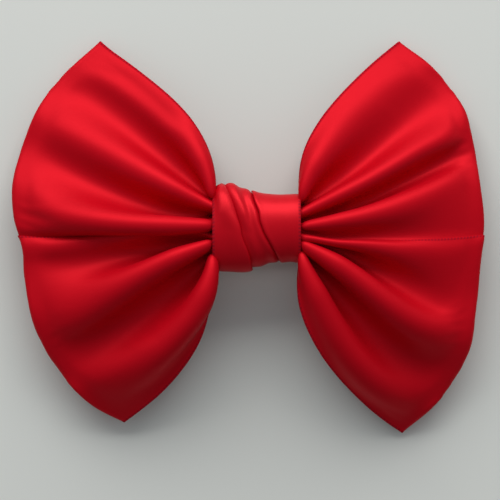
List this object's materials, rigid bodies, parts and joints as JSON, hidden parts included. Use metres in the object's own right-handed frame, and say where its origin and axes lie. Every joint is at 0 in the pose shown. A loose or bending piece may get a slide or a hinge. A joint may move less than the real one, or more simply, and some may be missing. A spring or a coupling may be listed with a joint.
{
  "type": "hair bow",
  "caption": "Ribbon hair bow: two wide satin ribbons folded into loops, gathered under a pleated knot band, on a spring steel barrette clip.",
  "frame": {"origin": "middle of the bow's outline, on the plane that it lies on", "axes": "+X along the barrette towards its hinge, the viewer's right; +Y up the bow; +Z out of the bow's front"},
  "size_m": [0.1052, 0.0874, 0.0196],
  "materials": {
    "satin": "red double-face satin ribbon, glossy front, softer back",
    "thread": "matt red sewing thread",
    "glue": "set hot-melt glue, slightly milky",
    "plated_steel": "nickel-plated pressed spring steel"
  },
  "bodies": {
    "bow": {"upper_ribbon": "satin", "lower_ribbon": "satin", "knot_ribbon": "satin", "gathering_thread": "thread", "glue_bed": "glue", "barrette_base": "plated_steel", "hinge_pin": "plated_steel", "tension_bar": "plated_steel", "catch_plate": "plated_steel", "catch_rivet": "plated_steel"},
    "clasp": {"clasp_arm": "plated_steel"},
    "front_finger": {"catch_finger_front": "plated_steel"},
    "back_finger": {"catch_finger_back": "plated_steel"}
  },
  "joints": [
    {"name": "clasp_hinge", "type": "hinge", "parent": "bow", "child": "clasp", "pos_m": [0.03185, 0, 0.0017], "axis": [0, -1, 0], "range_deg": [0, 95]},
    {"name": "front_finger_pinch", "type": "hinge", "parent": "bow", "child": "front_finger", "pos_m": [-0.02605, -0.0019, 0.0064], "axis": [1, 0, 0], "range_deg": [0, 5], "stiffness_Nm_per_rad": 0.02},
    {"name": "back_finger_pinch", "type": "hinge", "parent": "bow", "child": "back_finger", "pos_m": [-0.02605, 0.0019, 0.0064], "axis": [-1, 0, 0], "range_deg": [0, 5], "stiffness_Nm_per_rad": 0.02}
  ],
  "couplings": [
    {"joint": "back_finger_pinch", "follows": "front_finger_pinch", "ratio": 1}
  ]
}
